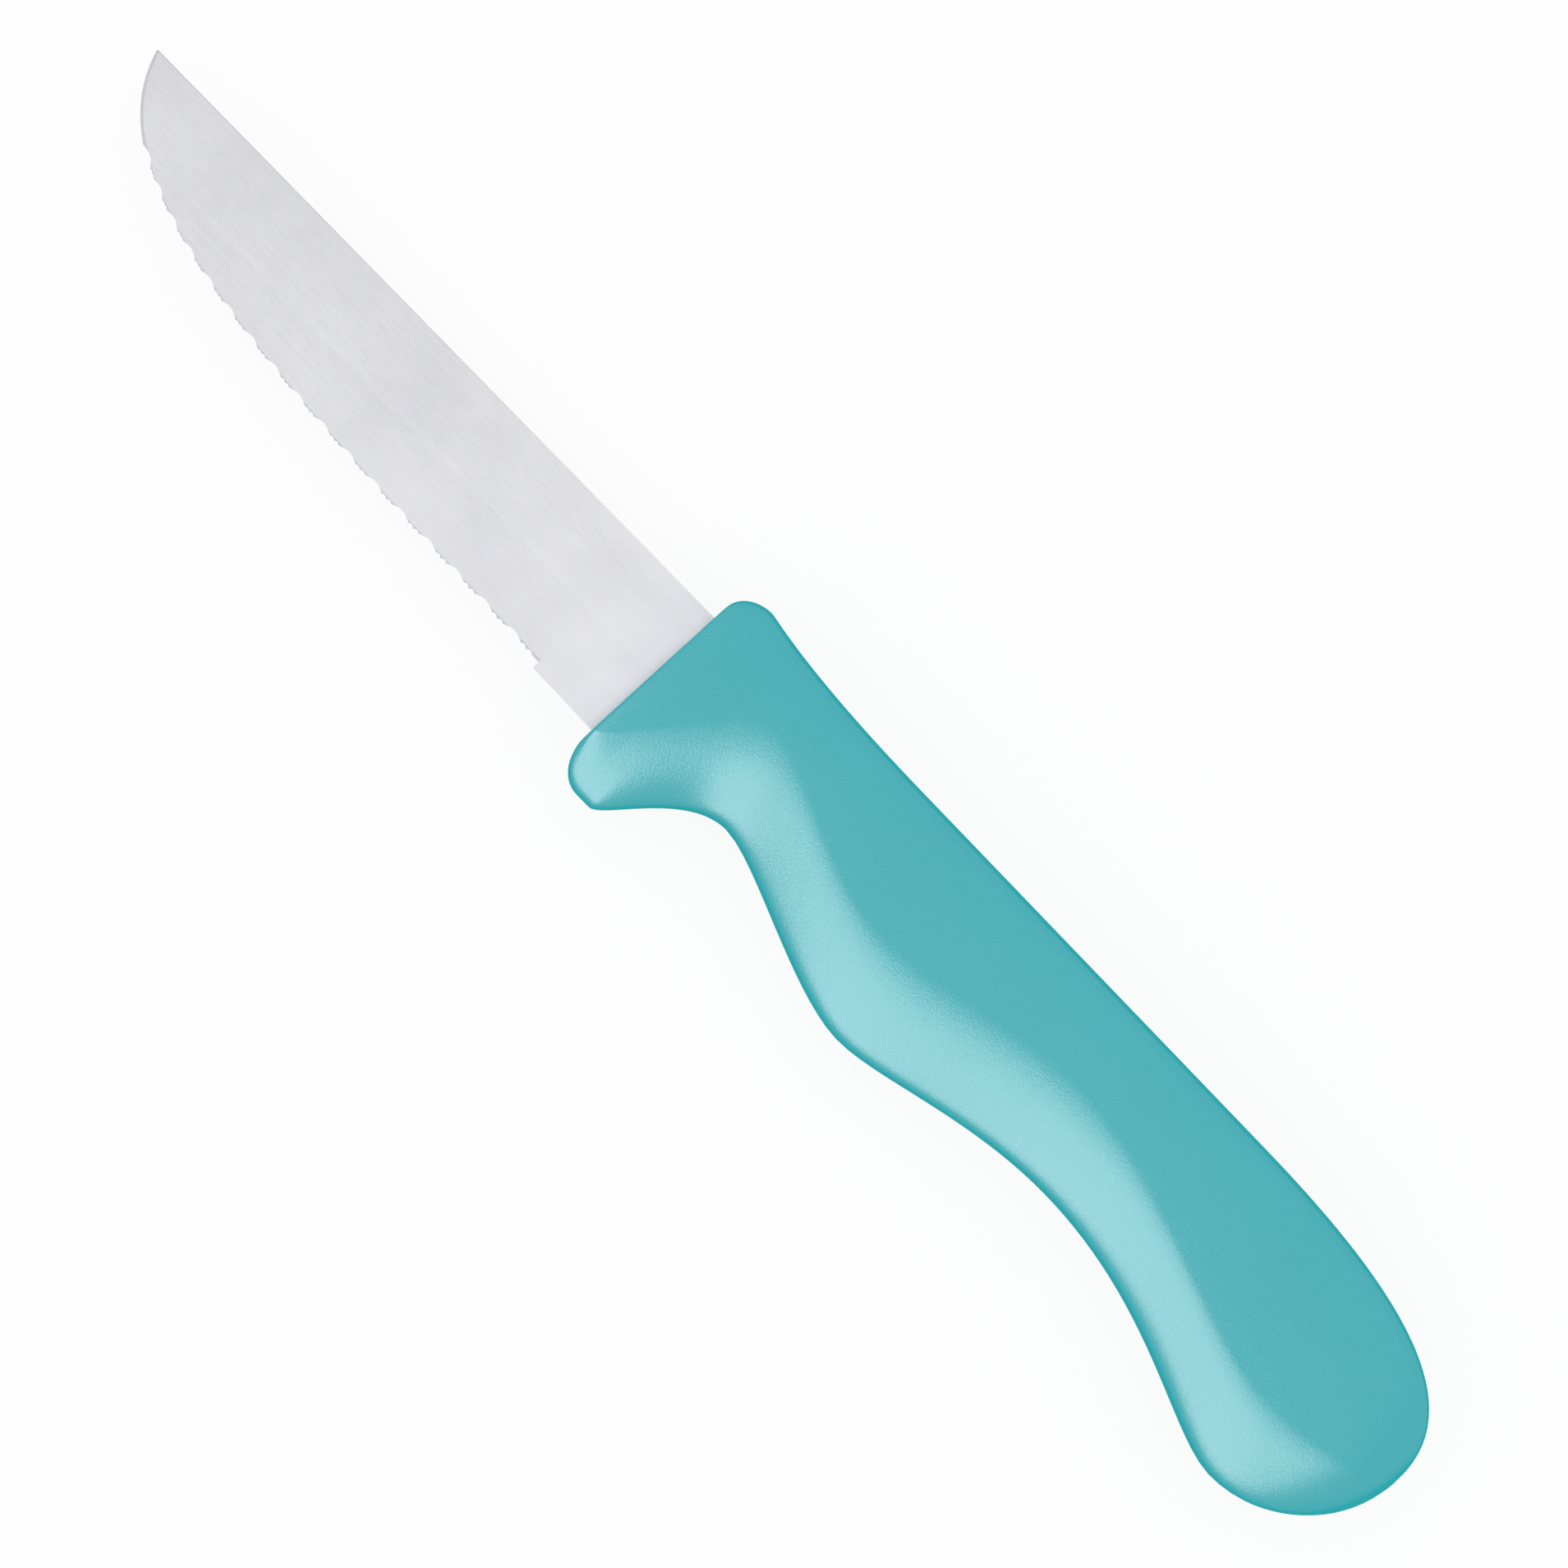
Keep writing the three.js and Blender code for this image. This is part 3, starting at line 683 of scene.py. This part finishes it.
# Stainless steel, belt-ground lengthwise to a satin: a broad white sheen with faint long lines and soft
# clouds. The bevel is ground across the edge, and the stamped edges are rougher and greyer.
# A face gets the first finish whose level it reaches, from 0 for upright to 1 for flat.
steel = {
    "satin_stainless_steel": {
        "light": "#DFDFE3", "dark": "#D0D0D5", "line": (2.2, 0.14, 0.14), "lineHeight": 0.002,
        "cloudSize": 9, "roughness": (0.24, 0.34), "level": 0.999},
    "ground_stainless_steel": {
        "light": "#D2D2D8", "dark": "#BDBDC6", "line": (0.12, 5, 5), "lineHeight": 0.004,
        "cloudSize": 6, "roughness": (0.25, 0.38), "level": 0.7},
    "sheared_stainless_steel": {
        "light": "#BDBCC0", "dark": "#A3A2A7", "line": (0.15, 0.6, 2), "lineHeight": 0.006,
        "cloudSize": 3, "roughness": (0.38, 0.5), "level": 0},
}


def groundSteel(name):
    finish = steel[name]
    material, tree = newMaterial(name)
    at = node(tree, "ShaderNodeTexCoord").outputs["Object"]
    stretched = node(tree, "ShaderNodeMapping", {
        "Scale": [perMetre(size) for size in finish["line"]]}, {"Vector": at})
    lines = node(tree, "ShaderNodeTexNoise", {
        "Scale": 1, "Detail": 3}, {"Vector": stretched.outputs["Vector"]})
    cloud = node(tree, "ShaderNodeTexNoise", {
        "Scale": perMetre(finish["cloudSize"]), "Detail": 4}, {"Vector": at})
    both = node(tree, "ShaderNodeMath", {
        "operation": "ADD"}, {0: lines.outputs["Fac"], 1: cloud.outputs["Fac"]})
    spread = node(tree, "ShaderNodeMapRange", {
        "From Min": 2 * noiseLow, "From Max": 2 * noiseHigh}, {"Value": both.outputs["Value"]})
    tint = node(tree, "ShaderNodeMix", {
        "data_type": "RGBA", 6: colour(finish["dark"]), 7: colour(finish["light"])},
        {0: spread.outputs["Result"]})
    smooth, rough = finish["roughness"]
    gloss = node(tree, "ShaderNodeMapRange", {
        "From Min": noiseLow, "From Max": noiseHigh, "To Min": smooth, "To Max": rough},
        {"Value": lines.outputs["Fac"]})
    bump = node(tree, "ShaderNodeBump", {
        "Distance": finish["lineHeight"] * mm}, {"Height": lines.outputs["Fac"]})
    shader = node(tree, "ShaderNodeBsdfPrincipled", {"Metallic": 1}, {
        "Base Color": tint.outputs[2], "Roughness": gloss.outputs["Result"],
        "Normal": bump.outputs["Normal"]})
    node(tree, "ShaderNodeOutputMaterial", links={"Surface": shader.outputs["BSDF"]})
    return material


gripPiece.data.materials.clear()
gripPiece.data.materials.append(mouldedPlastic())
bladePiece.data.materials.clear()
for name in steel:
    bladePiece.data.materials.append(groundSteel(name))
levels = [finish["level"] for finish in steel.values()]
for face in bladePiece.data.polygons:  # flats, ground faces, stamped edges
    face.material_index = next(i for i, level in enumerate(levels) if abs(face.normal.z) >= level)
print("materials:", ", ".join(m.name for m in bpy.data.materials if m.users))

for piece, cadNode, slotName in (
        (gripPiece, "handle", "handle_plastic"), (bladePiece, "blade", "blade_steel")):
    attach(piece, "root")
    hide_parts(cadNode)

# Floor, light and camera
studio = {
    "floorSize": 4,  # metres
    "floorDrop": 0.1,  # under the knife
    "floorWhite": (0.9, 0.9, 0.9, 1),
    "shadowShare": 0.1,  # how much of the floor's look is its lit surface, which keeps the shadow
    # two boxes that only reflections show; the world gives all the other light
    # size, distance, degrees round the knife (0 at the butt), degrees above the floor, radiance
    "side": ((0.86, 1.2), 0.95, -88, 33, 5.5),
    "top": ((0.5, 0.5), 1.3, 0, 85, 0.24),
    "sideTint": "#FFF1F0",  # a little warmer than the room
}


def seenWhite(tree):  # 1 for what the camera sees directly, in a reflection or through glass
    path = node(tree, "ShaderNodeLightPath").outputs
    white = path["Is Camera Ray"]
    for kind in ("Is Glossy Ray", "Is Transmission Ray"):
        either = node(tree, "ShaderNodeMath", {"operation": "MAXIMUM"}, {0: white, 1: path[kind]})
        white = either.outputs["Value"]
    return white


def layFloor():
    bpy.ops.object.select_all(action="DESELECT")
    bpy.ops.mesh.primitive_plane_add(size=studio["floorSize"], location=(0, 0, -studio["floorDrop"] * mm))
    floor = added("floor")
    material, tree = newMaterial("white_floor")
    lit = node(tree, "ShaderNodeBsdfDiffuse", {"Color": studio["floorWhite"]})
    glow = node(tree, "ShaderNodeEmission", {"Color": (1, 1, 1, 1), "Strength": 1})
    share = node(tree, "ShaderNodeMath", {
        "operation": "MULTIPLY", 1: 1 - studio["shadowShare"]}, {0: seenWhite(tree)})
    both = node(tree, "ShaderNodeMixShader", links={
        0: share.outputs["Value"], 1: lit.outputs["BSDF"], 2: glow.outputs["Emission"]})
    node(tree, "ShaderNodeOutputMaterial", links={"Surface": both.outputs["Shader"]})
    floor.data.materials.append(material)


def addBox(name):
    size, distance, turn, height, radiance = studio[name]
    turn, height = math.radians(turn), math.radians(height)
    away = Vector((math.cos(turn) * math.cos(height), math.sin(turn) * math.cos(height), math.sin(height)))
    bpy.ops.object.light_add(type="AREA", location=away * distance)
    box = bpy.context.object
    box.name = name
    box.rotation_euler = away.to_track_quat("Z", "Y").to_euler()
    box.data.shape = "RECTANGLE"
    box.data.size, box.data.size_y = size
    box.data.energy = radiance * math.pi * size[0] * size[1]
    box.visible_diffuse = False
    return box


def lightStudio():
    world = bpy.data.worlds.new("studio")
    world.use_nodes = True
    tree = world.node_tree
    tree.nodes.clear()
    air = node(tree, "ShaderNodeBackground", {"Color": (1, 1, 1, 1), "Strength": 1})
    node(tree, "ShaderNodeOutputWorld", links={"Surface": air.outputs["Background"]})
    bpy.context.scene.world = world
    side = addBox("side")
    side.data.color = colour(studio["sideTint"])[:3]
    addBox("top")
    flag = bpy.data.collections.new("side_flag")  # keeps the side box off the steel, which would burn out
    flag.objects.link(bladePiece)
    flag.collection_objects[0].light_linking.link_state = "EXCLUDE"
    side.light_linking.receiver_collection = flag


view = {
    "lens": 150,
    "sensor": 36,
    "frameWidth": 174.5,  # at the blade's height
    "middle": (18.8, -7.4),
    "turn": 45.5865,  # degrees
}


def setCamera():
    distance = view["frameWidth"] * view["lens"] / view["sensor"]
    bpy.ops.object.camera_add(
        location=place(*view["middle"], distance), rotation=(0, 0, math.radians(view["turn"])))
    camera = bpy.context.object
    camera.name = "plan_camera"
    camera.data.lens = view["lens"]
    camera.data.sensor_width = view["sensor"]
    bpy.context.scene.camera = camera


layFloor()
lightStudio()
setCamera()
bpy.context.scene.view_settings.view_transform = "Standard"
print("studio set")
